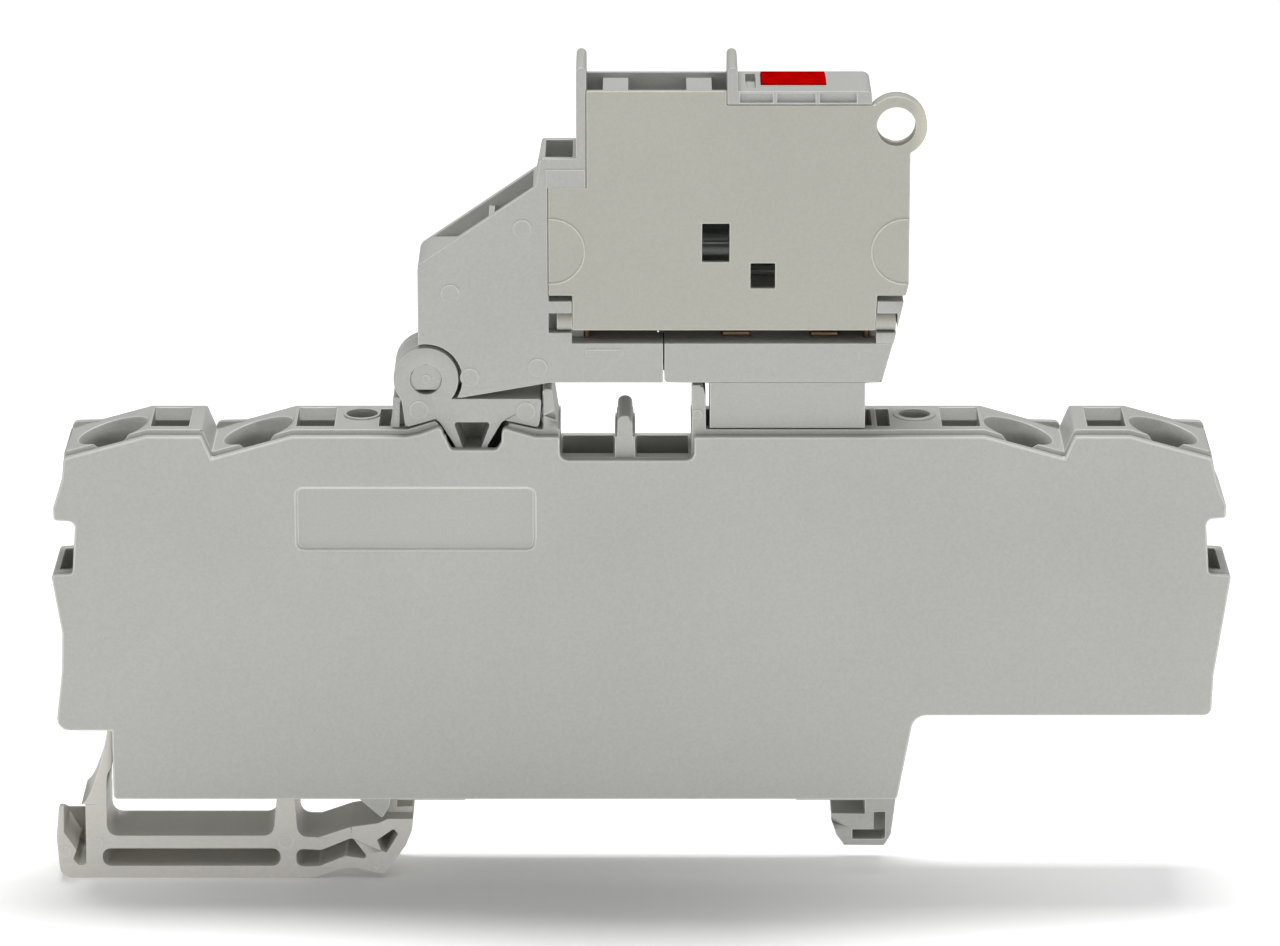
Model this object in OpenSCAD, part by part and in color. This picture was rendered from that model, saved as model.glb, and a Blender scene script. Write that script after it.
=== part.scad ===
// Fuse terminal block for a 35 mm mounting rail: four spring clamps, a plugged hinge base and a
// swinging holder for a 5 x 20 mm cartridge fuse, with a lamp that shows a blown fuse.
// X runs along the block, Y through its thickness, Z up. The origin lies on the rail's top
// face, at the middle of the rail and of the thickness. The front flat face looks towards -Y.

/* [Housing] */
// Thickness of the moulded housing
housing_t = 6.2; // [6:0.1:8]
// Thickness of the flat end plate
plate_t = 0.8; // [0.5:0.1:1.5]
// Thickness of the closed rear wall
rear_wall = 0.8; // [0.4:0.1:1]
// Height of the end plate's top edge above the rail
top_z = 28.8; // [27:0.1:32]
// Height of the housing's rim above the end plate's top edge
rim_h = 0.35; // [0.2:0.05:0.6]
// Reach of the left end from the middle of the rail
end_l = 43; // [42.8:0.1:46]
// Reach of the right end from the middle of the rail
end_r = 44.6; // [44.3:0.1:48]
// Drop of the sloped faces that hold the conductor entries
slope_drop = 1.7; // [1:0.1:2.2]

/* [Rail] */
// Width of the mounting rail
rail_w = 35; // [34.5:0.1:36]
// Thickness of the rail's flanges
rail_t = 1; // [0.8:0.1:1.3]

/* [Conductor clamps] */
// Operating slot of the inner clamp on the left, from the middle of the rail
inner_l = 23.3; // [23.1:0.05:23.6]
// Operating slot of the inner clamp on the right, from the middle of the rail
inner_r = 24.45; // [24.2:0.05:24.8]
// Distance from an inner clamp to its outer clamp
clamp_pitch = 10.75; // [10.5:0.05:11]
// Distance from an operating slot to its conductor entry
entry_gap = 4.5; // [4.3:0.1:4.7]
// Mouth of the entry funnel
funnel_d = 5.3; // [5:0.1:5.4]
// Bore that takes the conductor with its insulation
entry_d = 4.2; // [3.6:0.1:4.4]
// Length of that bore
entry_len = 4.6; // [3.5:0.1:5]
// Width of the operating slots
slot_w = 2.8; // [2.2:0.1:3]
// Depth of the operating slots through the thickness
slot_y = 4.1; // [3.5:0.1:4.3]
// Bore of the test plug holes
test_d = 2.3; // [2:0.1:2.4]
// Thickness of the clamp springs
spring_t = 0.4; // [0.3:0.05:0.5]
// Width of the clamp springs
spring_w = 3.6; // [3:0.1:4]

/* [Current bars] */
// Thickness of the current bars
bar_t = 1; // [0.8:0.1:1.4]
// Width of the current bars
bar_w = 4; // [3.4:0.1:4.4]
// Height of the bars' upper face above the rail
bar_z = 14; // [13.2:0.1:14.4]

/* [Hinge] */
// Diameter of the hinge pin
pin_d = 2.3; // [2:0.1:2.6]
// Outer radius of the hinge eyes
eye_r = 2.39; // [2.2:0.05:2.5]
// Thickness of each ear of the hinge base
ear_t = 1.1; // [0.9:0.1:1.2]
// Running clearance round the hinge pin, on the radius
pin_gap = 0.05; // [0.03:0.01:0.08]

/* [Fuse holder] */
// Thickness of the holder's closed rear wall
back_t = 0.35; // [0.3:0.05:0.4]
// Thickness of the marker trough's end walls
rib_t = 0.75; // [0.6:0.05:0.9]
// Height of those walls above the trough's rim
rib_h = 1.75; // [1:0.05:2.2]
// Thickness of the contact blades
blade_t = 0.8; // [0.6:0.05:1]
// Width of the contact blades
blade_w = 2; // [1.6:0.1:2.2]
// Thickness of the sheet that the fuse clips are bent from
clip_t = 0.35; // [0.25:0.05:0.4]

/* [Fuse] */
// Length of the cartridge fuse
fuse_l = 20; // [19.6:0.1:20.2]
// Diameter of its caps
cap_d = 5.2; // [5:0.05:5.25]
// Length of its caps
cap_l = 5.4; // [4.5:0.1:6]
// Diameter of its glass tube
glass_d = 4.8; // [4.5:0.1:4.9]

/* [Cover] */
// Thickness of the cover
cover_t = 0.5; // [0.4:0.05:0.55]
// Diameter of the cover's hinge trunnions
trunnion_d = 1.4; // [1.2:0.05:1.4]
// Hole of the pull ring
ring_d = 2.84; // [2.4:0.1:3]
// Outer diameter of the pull ring
ring_od = 4.5; // [4.2:0.1:4.7]
// Thickness of the pull ring
ring_t = 1.6; // [1.2:0.1:1.7]

/* [Lamp] */
// Length of the red lens
lens_l = 4.8; // [4:0.1:5.4]
// Depth of the red lens through the thickness
lens_y = 3.85; // [3.2:0.05:3.9]

/* [Hidden] */
$fn = 48;

grey = [0.71, 0.71, 0.69];
cover_grey = [0.70, 0.69, 0.65];
copper = [0.80, 0.50, 0.32];
steel = [0.72, 0.73, 0.74];
seat = 0.05;                                    // clearance of pieces that only lie in their seats
y_front = -(housing_t + plate_t) / 2;           // front face of the end plate
y_split = y_front + plate_t;                    // front face of the housing and of the holder
y_back = y_split + housing_t;                   // rear face of the housing and of the holder
y_floor = y_back - rear_wall;                   // inside of the housing's rear wall
y_mid = (y_split + y_back) / 2;
y_bar = (y_split + y_floor) / 2;                // middle of the current bars
base_z = 0.35;                                  // underside of the housing between its rail pads
left_shelf_z = 5.8;                             // underside of the left end
right_shelf_z = 7;                              // underside of the right end
left_wall_x = -end_l + 4.2;                     // left side of the housing's lower part
house_z = top_z + rim_h;                        // top face of the housing
step_run = 0.7;                                 // run of the steep step between two clamps
flat_run = 1.65;                                // flat length past the middle of a slot
clamps = [                                      // middle of each operating slot, and its side
    ["left_outer", -inner_l - clamp_pitch, -1], ["left_inner", -inner_l, -1],
    ["right_inner", inner_r, 1], ["right_outer", inner_r + clamp_pitch, 1]
];
entry_tilt = 6;
entry_y = y_split + entry_d / 2 + 0.2;
entry_z = house_z - slope_drop * 0.45;          // middle of a funnel's mouth
funnel_h = 1.3;
slot_front = y_split + 0.95;
room_top = entry_z - (funnel_h + entry_len) * cos(entry_tilt);
test_y = y_split + 3.7;
jumper_z = top_z - 1.8;                         // rim of the jumper slots
jumper_l = -5.2;
jumper_r = 4.5;
jumper_rib = 0.55;                              // half of the rib between the jumper slots
jumper_mid = -0.4;
blade_l = 7.8;                                  // middle of each contact blade
blade_r = 14.3;
socket_l = blade_l - 2.2;                       // well that takes the holder's plug
socket_r = blade_r + 3.55;
socket_y0 = y_split + 1.1;
socket_y1 = y_floor - 0.1;
socket_z = top_z - 6.8;
blade_tip = top_z - 4.8;
hinge_x = -15.05;
hinge_z = top_z + 4.2;
hinge_y1 = y_split + 4.7;                       // rear face of the hinge base
arm_z = top_z + 3.95;                           // underside of the fuse holder
eye_gap = 0.3;                                  // gap between an eye and the holder's hollow
fuse_x = 7.1;                                   // middle of the fuse
fuse_y = y_split + cover_t + seat + cap_d / 2;
fuse_z = arm_z + 9.8;
room_half = cap_d / 2 + clip_t + 2 * seat;      // half height of the fuse room
clip_x = fuse_l / 2 + 2 * seat;                 // inner face of a clip's end, from the fuse's middle
clip_w = 3.2;                                   // width of the fuse clips through the thickness
slit_z = arm_z + 3;                             // floor of the slit below the cover
strip_z = slit_z;                               // underside of the strips that feed the blades
trunnion_z = arm_z + 4.55;
trunnion_y = y_split + trunnion_d / 2 + seat;
ring_x = 19.35;
ring_z = arm_z + 19.4;
trough_z = arm_z + 22.05;                       // rim of the marker trough
trough_l = -3.2;
trough_r = 7.05;
lamp_r = 17.55;                                 // right end of the lamp block
lens_x = 11.9;
lens_front = y_split + 1.9;
lens_t = 1.5;
board_z = arm_z + 14.4;
board_h = 3.6;
board_t = 0.8;
board_y = y_back - back_t - board_t;
lead_x = [-1.2, 14.6];                          // left side of each lamp lead
foot_y1 = y_back - 0.7;                         // rear face of the release foot
label_t = 0.3;                                  // depth of the label's field
flange_x = rail_w / 2;

// ---- outlines: corners are [x, z] or [x, z, radius] ----
function flat(p) = [p[0], p[1]];
function unit(v) = v / norm(v);
function turned(v, a) = [v[0] * cos(a) - v[1] * sin(a), v[0] * sin(a) + v[1] * cos(a)];
function corner(a, b, c) =
    len(b) < 3 ? [flat(b)] :
    let (
        u = unit(flat(a) - flat(b)),
        v = unit(flat(c) - flat(b)),
        half = acos(u * v) / 2,
        hub = flat(b) + unit(u + v) * b[2] / sin(half),
        start = flat(b) + u * b[2] / tan(half) - hub,
        way = u[0] * v[1] - u[1] * v[0] > 0 ? -1 : 1,
        steps = b[2] > 1 ? 8 : 4
    )
    [for (i = [0 : steps]) hub + turned(start, way * (180 - 2 * half) * i / steps)];
function outline(pts) = [
    for (i = [0 : len(pts) - 1])
    each corner(pts[(i + len(pts) - 1) % len(pts)], pts[i], pts[(i + 1) % len(pts)])
];
// A bent strip's middle line with its inner corners rounded
function bent(pts) = [
    for (i = [0 : len(pts) - 1])
    each (i == 0 || i == len(pts) - 1) ? [flat(pts[i])] : corner(pts[i - 1], pts[i], pts[i + 1])
];
function side_point(path, i, off) =
    let (
        last = len(path) - 1,
        before = unit(path[max(i, 1)] - path[max(i, 1) - 1]),
        after = unit(path[min(i, last - 1) + 1] - path[min(i, last - 1)]),
        n = unit([-before[1] - after[1], before[0] + after[0]])
    )
    path[i] + n * off / (n * [-after[1], after[0]]);
function strip(path, t) = concat(
    [for (i = [0 : len(path) - 1]) side_point(path, i, t / 2)],
    [for (i = [len(path) - 1 : -1 : 0]) side_point(path, i, -t / 2)]
);

// A solid with the outline pts in XZ, from y0 to y1
module slab(pts, y0, y1) {
    translate([0, y1, 0]) rotate([90, 0, 0]) linear_extrude(y1 - y0) polygon(pts);
}

// A box between two corners
module block(a, b) {
    translate(a) cube(b - a);
}

// A round bar or hole along Y
module rod_y(x, z, d, y0, y1) {
    translate([x, y1, z]) rotate([90, 0, 0]) cylinder(d = d, h = y1 - y0);
}

// A solid with the outline pts in YZ, from x0 to x1
module bar_x(pts, x0, x1) {
    translate([x0, 0, 0]) rotate([90, 0, 90]) linear_extrude(x1 - x0) polygon(pts);
}

// A round bar or hole along X
module rod_x(y, z, d, x0, x1) {
    translate([x0, y, z]) rotate([0, 90, 0]) cylinder(d = d, h = x1 - x0);
}

// ---- terminal housing and end plate ----
// Top edge over one clamp, from the slot's middle outwards
function clamp_top(x, side, run, z) = [
    [x + side * flat_run, z],
    [x + side * run, z - slope_drop]
];
function body_outline(z) =
    let (
        lo = clamps[0][1],
        li = clamps[1][1],
        ri = clamps[2][1],
        ro = clamps[3][1],
        drop_run = clamp_pitch - flat_run - step_run - 0.8
    )
    outline(concat(
        clamp_top(ri, 1, drop_run, z),
        [[ri + drop_run + step_run, z, 0.3]],
        [[ro + flat_run, z]],
        [
            [end_r - 1.7, z - slope_drop, 0.3], [end_r - 1.2, 25], [end_r - 0.54, 23.5],
            [end_r - 0.54, 22.5, 0.25], [end_r - 2, 22.4, 0.5], [end_r - 1.7, 18.2, 0.3],
            [end_r, 18.1, 0.3], [end_r - 1.1, 10.2], [end_r - 1.2, right_shelf_z, 0.6],
            [21.2, right_shelf_z, 1.1], [20, base_z, 0.3], [left_wall_x, base_z, 0.3],
            [left_wall_x, left_shelf_z], [-end_l, left_shelf_z, 0.9],
            [-end_l + 0.6, 10.5], [-end_l + 0.7, 13.5], [-end_l, 18.1, 0.3],
            [-end_l + 1.6, 18.2, 0.3], [-end_l + 1.9, 22.2, 0.5], [-end_l + 0.3, 22.3, 0.25],
            [-end_l + 0.3, 23.3], [-end_l + 1, 25.4], [-end_l + 1.17, z - slope_drop, 0.3]
        ],
        [[lo - flat_run, z]],
        [[li - drop_run - step_run, z, 0.3]],
        [[li - drop_run, z - slope_drop]],
        [[li - flat_run, z]]
    ));

// Conductor entry, operating slot with its sloped lead-in, and clamp room of one clamp
module clamp_cut(x, side) {
    translate([x + side * entry_gap, entry_y, entry_z]) rotate([0, side * entry_tilt, 0]) {
        translate([0, 0, -funnel_h]) cylinder(d1 = entry_d, d2 = 2 * funnel_d - entry_d, h = 2 * funnel_h);
        translate([0, 0, -funnel_h - entry_len - 1]) cylinder(d = entry_d, h = entry_len + 1.01);
    }
    slot_back = slot_front + slot_y;
    bar_x([[slot_front, room_top - 1], [slot_front, house_z + 1], [y_back - 0.5, house_z + 1],
        [y_back - 0.5, house_z - 0.1], [slot_back, house_z - 0.8], [slot_back, room_top - 1]],
        x - slot_w / 2, x + slot_w / 2);
    room = [x - side * 1.9, x + side * 5.8];
    block([min(room), y_split - 1, bar_z - bar_t], [max(room), y_floor, room_top]);
}

// Low crest along the rear wall, beyond a clamp's slope
module crest(x, side, run) {
    slab(outline([[x + side * 1.7, house_z - slope_drop], [x + side * 3.6, house_z - 0.75, 0.8],
        [x + side * 5.2, house_z - 1.05, 1], [x + side * run, house_z - 1.1, 0.5],
        [x + side * run, house_z - slope_drop - 0.5]]), y_back - 0.45, y_back);
}

module current_way(x0, x1) {
    block([x0, y_split - 1, bar_z - bar_t], [x1, y_floor, bar_z + 2 * seat]);
}

module housing() {
    color(grey) difference() {
        union() {
            slab(body_outline(house_z), y_split, y_back);
            for (c = clamps) crest(c[1], c[2], 7.65);
            // walls beside the jumper slots: the left one also holds the hinge base, the right one the plug
            slab(outline([[-6.5, top_z - 3], [-6.46, arm_z - 0.5, 0.2], [-5.8, arm_z - 0.5, 0.2],
                [jumper_l - 0.15, house_z], [jumper_l - 0.1, top_z - 3]]), y_split, y_back);
            block([-6.95, hinge_y1 + seat, top_z - 1], [-6.3, y_back, arm_z - 0.9]);
            slab(outline([[jumper_r + 0.05, top_z - 3], [jumper_r + 0.05, arm_z - 0.2, 0.15],
                [socket_l - 0.3, arm_z - 0.2, 0.3], [socket_l - 0.05, arm_z - 1.1], [socket_l, top_z - 3]]),
                y_split, y_back);
            // peg between the jumper slots
            slab(outline([[jumper_mid - 0.85, jumper_z - 1], [jumper_mid - 0.8, jumper_z],
                [jumper_mid - jumper_rib, jumper_z + 0.7, 0.3],
                [jumper_mid - jumper_rib, top_z + 1.4, 0.5],
                [jumper_mid + jumper_rib, top_z + 1.4, 0.5],
                [jumper_mid + jumper_rib, jumper_z + 0.7, 0.3], [jumper_mid + 0.8, jumper_z],
                [jumper_mid + 0.85, jumper_z - 1]]), y_split, y_back - 0.8);
            // beds below the hinge base
            slab([[-16.45, top_z - 1], [-16.45, house_z], [-14.45, house_z + 0.63], [-14.2, house_z + 0.45],
                [-13.9, house_z - 0.15], [-13.85, top_z - 1]], y_split, hinge_y1);
            slab([[-9.25, top_z - 1], [-9.2, house_z - 0.15], [-8.95, house_z + 0.4], [-8.8, house_z + 0.45],
                [-6.9, house_z + 0.02], [-6.9, top_z - 1]], y_split, hinge_y1);
            // pads that stand on the rail
            for (s = [-1, 1])
                block([s > 0 ? 12.4 : -flange_x, y_split, 0],
                    [s > 0 ? flange_x + 0.1 : -12.4, y_back, base_z + 0.5]);
            // fixed hook under the rail's right flange
            slab(outline([[flange_x + 0.1, base_z + 0.2], [flange_x + 0.1, -rail_t - seat],
                [15.1, -rail_t - seat], [15.1, -1.6, 0.2], [15.5, -2.8], [16.1, -3.6, 0.3],
                [19.1, -3.65, 0.3], [19.6, -2.75], [20, base_z + 0.2]]), y_split, y_back - 0.7);
            // nose in front of the foot's hook
            slab(outline([[-20.9, base_z + 0.2], [-18.7, -1.45, 0.15], [-18.1, -0.5],
                [-18, base_z + 0.2]]), y_split, y_split + 1.3);
        }
        for (c = clamps) clamp_cut(c[1], c[2]);
        current_way(clamps[0][1], blade_l + 1.6);
        current_way(blade_r - 1.6, clamps[3][1]);
        // notch over the jumper slots, and the slots
        block([jumper_l, y_split - 1, jumper_z], [jumper_mid - 0.75, y_back + 1, house_z + 1]);
        block([jumper_mid + 0.75, y_split - 1, jumper_z], [jumper_r, y_back + 1, house_z + 1]);
        block([jumper_mid - 0.75, y_split - 1, jumper_z + 1.6],
            [jumper_mid - jumper_rib - 0.02, y_back + 1, house_z + 1]);
        block([jumper_mid + jumper_rib + 0.02, y_split - 1, jumper_z + 1.6],
            [jumper_mid + 0.75, y_back + 1, house_z + 1]);
        block([jumper_l + 0.15, y_split + 1.1, bar_z], [jumper_mid - 0.85, y_back - 0.5, top_z]);
        block([jumper_mid + 0.85, y_split + 1.1, bar_z], [jumper_r - 0.2, y_back - 0.5, top_z]);
        // well for the plug, with a room below for each socket contact
        block([socket_l, socket_y0, socket_z], [socket_r, socket_y1, house_z + 1]);
        for (x = [blade_l, blade_r])
            block([x - 1.7, y_split - 1, bar_z - bar_t], [x + 2.2, y_floor, socket_z + 0.01]);
        // pocket for the foot of the hinge base
        block([-13.8, y_split - 1, top_z - 5], [-9.3, hinge_y1 + seat, house_z + 1]);
        // test plug holes
        for (c = [clamps[1], clamps[2]]) translate([c[1] - c[2] * 3.35, test_y, 0]) {
            translate([0, 0, bar_z - 0.1]) cylinder(d = test_d, h = top_z);
        }
        // small pockets beside the hinge base and beside the plug
        block([-18.6, slot_front, top_z - 3], [-17.75, y_floor, house_z + 1]);
        block([socket_r + 0.4, slot_front, top_z - 3], [socket_r + 1.35, y_floor, house_z + 1]);
        // notch in the wall beside the jumper slots
        slab([[-6.4, 30.2], [-5.5, 30.65], [-5.5, 29.85]], y_split - 1, y_split + 0.6);
        // hollows of the fixed hook
        block([18.3, y_split - 1, -3.05], [19.15, y_split + 2, -0.95]);
        block([16.7, y_split - 1, -3.1], [19, y_split + 2, -2.35]);
        // grooves in the floors of the end notches
        block([-end_l + 0.55, y_split + 0.6, 15.5], [-end_l + 1.5, y_back - 0.6, 19]);
        block([end_r - 1.6, y_split + 0.6, 15.5], [end_r - 0.7, y_back - 0.6, 19]);
    }
}

module end_plate() {
    color(grey) difference() {
        union() {
            slab(body_outline(top_z), y_front, y_split);
            // raised edges below the hinge base
            slab(outline([[-16.9, top_z - 1], [-16.6, top_z], [-15.5, top_z + 0.22, 0.5],
                [-14, top_z + 0.8, 0.25], [-13.4, top_z - 1]]), y_front, y_split);
            slab(outline([[-9.8, top_z - 1], [-9.35, top_z + 0.7, 0.25], [-7, top_z, 0.5],
                [-6.6, top_z - 1]]), y_front, y_split);
        }
        slab(outline([[-14.2, top_z + 2], [-13.5, top_z - 0.4], [-13.2, top_z - 1, 0.35],
            [-9.85, top_z - 1, 0.35], [-9.5, top_z - 0.4], [-9.45, top_z + 2]]), y_front - 1, y_split + 1);
        slab(outline([[jumper_l, top_z + 1], [jumper_l, jumper_z, 0.6], [jumper_r + 0.2, jumper_z, 0.6],
            [jumper_r + 0.2, top_z + 1]]), y_front - 1, y_split + 1);
        // bare sunken field for a label
        slab(outline([[-24.7, 20.1, 0.5], [-24.7, 24.85, 0.5], [-7.1, 24.85, 0.5], [-7.1, 20.1, 0.5]]),
            y_front - 1, y_front + label_t);
    }
}

// ---- current bars, springs and socket contacts ----
// A bar from its outer clamp to its socket contact, with an upright tab in each clamp
module current_bar(x0, x1, near) {
    color(copper) {
        block([x0, y_bar - bar_w / 2, bar_z - bar_t], [x1, y_bar + bar_w / 2, bar_z]);
        for (c = near) {
            a = c[1] + c[2] * 4.7;
            b = c[1] + c[2] * 5.6;
            block([min(a, b), y_bar - bar_w / 2, bar_z - bar_t], [max(a, b), y_bar + bar_w / 2, bar_z + 5.5]);
        }
    }
}

module clamp_spring(c) {
    x = c[1];
    s = c[2];
    path = bent([
        [x + s * 3.4, bar_z + spring_t / 2],
        [x - s * 1.3, bar_z + spring_t / 2, 0.5],
        [x - s * 1.5, room_top - 2, 1.1],
        [x + s * 1, room_top - 0.7, 0.7],
        [x + s * 4.4, bar_z + 2.2]
    ]);
    color(steel) slab(strip(path, spring_t), y_bar - spring_w / 2, y_bar + spring_w / 2);
}

// A fork that grips a blade from both faces, its foot on the bar
module socket_contact(x) {
    t = 0.35;
    grip = blade_t / 2 + seat + t / 2;
    half = [
        [0, bar_z + t / 2], [1.5, bar_z + t / 2, 0.5], [1.5, socket_z - 1.2, 0.8],
        [grip, socket_z + 1.4, 0.6], [grip + 0.7, socket_z + 3]
    ];
    path = concat([for (i = [len(half) - 1 : -1 : 1]) [-half[i][0], half[i][1], half[i][2]]],
        [for (i = [1 : len(half) - 1]) half[i]]);
    tips = [for (p = path) is_undef(p[2]) ? flat(p) : p];
    color(copper) translate([x - 1.2, y_mid, 0]) rotate([90, 0, 90])
        linear_extrude(2.4) polygon(strip(bent(tips), t));
}

// ---- hinge ----
module hinge_base() {
    color(grey) difference() {
        union() {
            for (y = [[y_split, y_split + ear_t], [hinge_y1 - ear_t, hinge_y1]]) {
                rod_y(hinge_x, hinge_z, 2 * eye_r, y[0], y[1]);
                slab([[hinge_x - eye_r, hinge_z], [-16.9, hinge_z - 1.4], [hinge_x + 1.85, hinge_z - 1.5],
                    [hinge_x, hinge_z]], y[0], y[1]);
            }
            slab(outline([[-17.6, house_z + seat], [-17.5, hinge_z - 1.5, 0.15],
                [-16.5, hinge_z - 1.5], [-16.6, house_z + seat]]), y_split + 0.35, hinge_y1);
            slab(outline([[-16.9, hinge_z - 1.4], [-16.55, hinge_z - 3.68, 0.2],
                [-14.35, hinge_z - 3.04, 0.1], [-14.05, hinge_z - 3.3], [-12.95, hinge_z - 5.1],
                [-12.95, top_z - 5], [-12.1, top_z - 5], [-12, hinge_z - 6.2], [-11.2, hinge_z - 6.2],
                [-11.1, top_z - 5], [-10.55, top_z - 5], [-10.55, hinge_z - 5.1], [-9.5, hinge_z - 3.3],
                [-9.25, hinge_z - 3.15, 0.1], [-6.8, hinge_z - 3.68, 0.2], [-6.66, hinge_z - 3.1],
                [-6.55, hinge_z - 1.5, 0.2], [hinge_x + 1.85, hinge_z - 1.5]]), y_split, hinge_y1);
        }
        rod_y(hinge_x, hinge_z, pin_d + 0.04, y_split - 1, hinge_y1 + 1);
        // groove beside the left edge
        slab([[-17.1, house_z - 1], [-17, hinge_z - 1.85], [-16.86, hinge_z - 1.75],
            [-16.7, hinge_z - 3.1], [-16.55, house_z - 1]], y_split - 1, y_split + 1.2);
        // room for the holder's eye
        rod_y(hinge_x, hinge_z, 2 * eye_r + 0.4, y_split + ear_t, hinge_y1 - ear_t);
        // hollow between the two front legs
        slab(outline([[-13.05, hinge_z - 3.3, 0.2], [-10.3, hinge_z - 3.3, 0.2],
            [-11.1, hinge_z - 5.5], [-12.3, hinge_z - 5.5]]), y_split - 1, hinge_y1 - 0.8);
    }
}

// A pin with a flat along its lower side
module hinge_pin() {
    color(grey) difference() {
        rod_y(hinge_x, hinge_z, pin_d, y_split + 0.15, hinge_y1);
        block([hinge_x - pin_d, y_split - 1, hinge_z - pin_d],
            [hinge_x + pin_d, hinge_y1 + 1, hinge_z - pin_d / 2 + 0.32]);
    }
}

// ---- release foot ----
module release_foot() {
    w = left_wall_x;
    color(grey) difference() {
        union() {
            slab(outline([[w - 4.2, -0.45, 0.3], [w - 2.05, -0.36], [w - 0.6, -0.3], [w - 0.65, -2.85, 0.8],
                [-26.9, -2.85, 0.8], [-26.6, base_z - seat, 0.2], [-25.3, base_z - seat, 0.2],
                [-25.05, -2.95, 0.8], [-23.5, -2.98, 0.6], [-21.1, -2.15, 0.6], [-19, -1.85], [-18.3, -1.5],
                [-16.4, -1.5], [-16.45, -2.4], [-16.95, -3.65], [-18, -5.15], [-18.6, -5.9, 0.15],
                [-19.3, -5.8], [-20.8, -5.4, 1.2], [-21.9, -5.55, 1.2], [-23.9, -6.25, 1.5],
                [w - 4.2, -6.25, 0.9], [w - 4.45, -3, 2]]), y_split, foot_y1);
            slab([[-18.3, -1.6], [-18.3, 0], [-flange_x - 2 * seat, 0],
                [-flange_x - 2 * seat, -rail_t - seat], [-16.45, -rail_t - seat], [-16.5, -1.6]],
                y_split + 1.5, foot_y1);
        }
        // long lower pocket, curved pocket and three-sided pocket
        slab(outline([[-39.8, -3.87, 0.6], [-26.4, -3.87, 0.6], [-26.4, -5.27, 0.6],
            [-39.8, -5.27, 0.6]]), y_split - 1, foot_y1 - 0.7);
        slab(outline([[-25.2, -3.9, 0.5], [-23.3, -4, 0.6], [-20.95, -3, 0.3], [-19.7, -4.75, 0.2],
            [-21.5, -4.48, 0.6], [-23.5, -5.3, 0.6], [-25.2, -5.35, 0.5]]), y_split - 1, foot_y1 - 1.4);
        slab(outline([[-19.1, -3.2, 0.15], [-17.85, -2.3, 0.15], [-17.5, -2.7, 0.1], [-18.4, -4.25, 0.15],
            [-18.8, -4.05, 0.15]]), y_split - 1, foot_y1 - 2);
        // screwdriver pocket, open at the top, in a head that falls away to the rear
        slab(outline([[w - 3.82, 1], [w - 3.87, -2.6, 0.1], [w - 2.95, -4.02, 0.1],
            [w - 3.25, -4.7, 0.2], [w - 2.75, -5.32, 0.4], [w - 2.25, -5.1, 0.2], [w - 2.2, 1]]),
            y_split - 1, foot_y1 - 0.7);
        bar_x([[y_split + 0.4, 1], [y_split + 0.4, -0.4], [foot_y1 + 1, -2.95], [foot_y1 + 1, 1]],
            w - 6, w - 2.2);
    }
}

module foot_strap() {
    w = left_wall_x;
    color(grey) slab([[w - 0.4, left_shelf_z], [w - 0.05, left_shelf_z], [w - 0.1, 2.7], [w - 0.45, 2.1],
        [w - 0.6, -0.3], [w - 2.05, -0.36], [w - 1.65, 0.8], [w - 0.95, 3], [w - 0.65, 4.5]],
        y_split, foot_y1);
}

// ---- fuse holder ----
function holder_outline() = outline([
    [hinge_x, arm_z - 1.2], [-12.4, arm_z - 1.15, 0.2], [-5.9, arm_z, 2], [18.5, arm_z, 0.3],
    [19.35, slit_z], [19.8, arm_z + 5.1], [20.1, arm_z + 6.4], [20.1, arm_z + 16.5],
    [lamp_r + 0.15, arm_z + 17.5], [lamp_r, trough_z, 0.5],
    [trough_r + rib_t, trough_z], [trough_r + rib_t, trough_z + rib_h, 0.36],
    [trough_r, trough_z + rib_h, 0.36], [trough_r, trough_z], [trough_l, trough_z],
    [trough_l, trough_z + rib_h, 0.36], [trough_l - rib_t, trough_z + rib_h, 0.36],
    [trough_l - rib_t, arm_z + 17], [-6.5, arm_z + 17, 0.2], [-6.9, arm_z + 14.9],
    [-15.6, arm_z + 8.95, 0.8], [-15.6, hinge_z]
]);
// Outline of the cover, without its ring
function cover_outline(g) = outline([
    [trough_l - g, trough_z + g], [trough_r - 0.05 + g, trough_z + g],
    [trough_r - 0.05 + g, arm_z + 21 + g], [19.4, arm_z + 21 + g],
    [20.4 + g, arm_z + 17.5], [20.4 + g, arm_z + 7.5], [20.2 + g, arm_z + 6.65 - g],
    [18.1 + g, arm_z + 6.65 - g], [18 + g, arm_z + 4 - g], [-4.25 - g, arm_z + 4 - g],
    [-4.25 - g, arm_z + 6.65 - g], [-6 - g, arm_z + 6.65 - g], [-6 - g, arm_z + 14.8 + g],
    [trough_l - g, arm_z + 14.8 + g]
]);

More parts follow.
